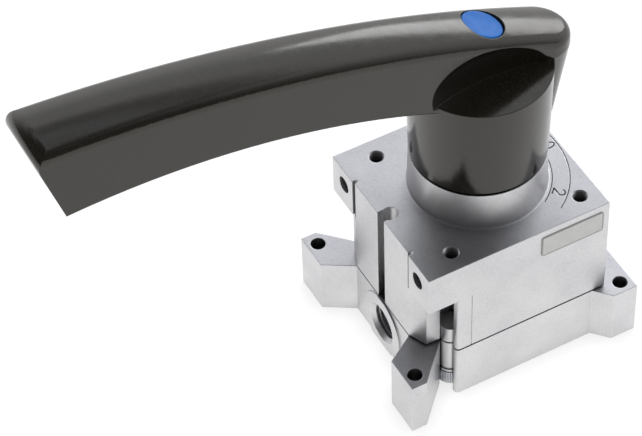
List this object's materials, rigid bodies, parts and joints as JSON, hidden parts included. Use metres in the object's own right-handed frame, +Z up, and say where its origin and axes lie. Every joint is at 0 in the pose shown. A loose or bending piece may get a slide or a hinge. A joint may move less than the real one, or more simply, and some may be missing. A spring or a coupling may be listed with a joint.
{
  "type": "hand lever valve",
  "caption": "Manual air valve: a rotary slide in a flanged light-metal body, turned by a long upswept lever, with threaded ports.",
  "frame": {"origin": "where the lever's axis meets the underside of the base", "axes": "+Z up along the lever's axis; -X is the way the lever points at its middle position"},
  "size_m": [0.1798, 0.0698, 0.1538],
  "materials": {
    "cast_grey": "satin cast light metal",
    "lever_grey": "satin dark grey, fine grain",
    "cap_blue": "satin",
    "steel": "plain",
    "spring_steel": "bright",
    "seal_rubber": "matt",
    "gasket_fibre": "matt",
    "slide_bronze": "lapped",
    "bush_plastic": "plain",
    "label_white": "printed film, bare",
    "mark_black": "paint fill"
  },
  "bodies": {
    "body": {"upper_housing": "cast_grey", "base_body": "cast_grey", "housing_gasket": "gasket_fibre", "housing_screws": "steel", "screw_washers": "steel", "valve_seat_plate": "steel", "seat_pins": "steel", "seat_seals": "seal_rubber", "stem_bush": "bush_plastic", "thrust_washer": "bush_plastic", "detent_ring": "steel", "stop_pin": "steel", "wiper_seal": "seal_rubber", "label_plate": "label_white", "position_marks": "mark_black"},
    "lever_group": {"lever": "lever_grey", "lever_insert": "steel", "lever_washer": "steel", "lever_screw": "steel", "lever_cap": "cap_blue", "driver_stem": "steel", "drive_pins": "steel", "rotary_slide": "slide_bronze", "slide_spring": "spring_steel", "stem_o_rings": "seal_rubber", "detent_balls": "steel", "detent_springs": "spring_steel"}
  },
  "joints": [
    {"name": "lever_turn", "type": "hinge", "parent": "body", "child": "lever_group", "pos_m": [0, 0, 0], "axis": [0, 0, 1], "range_deg": [-45, 45]}
  ]
}
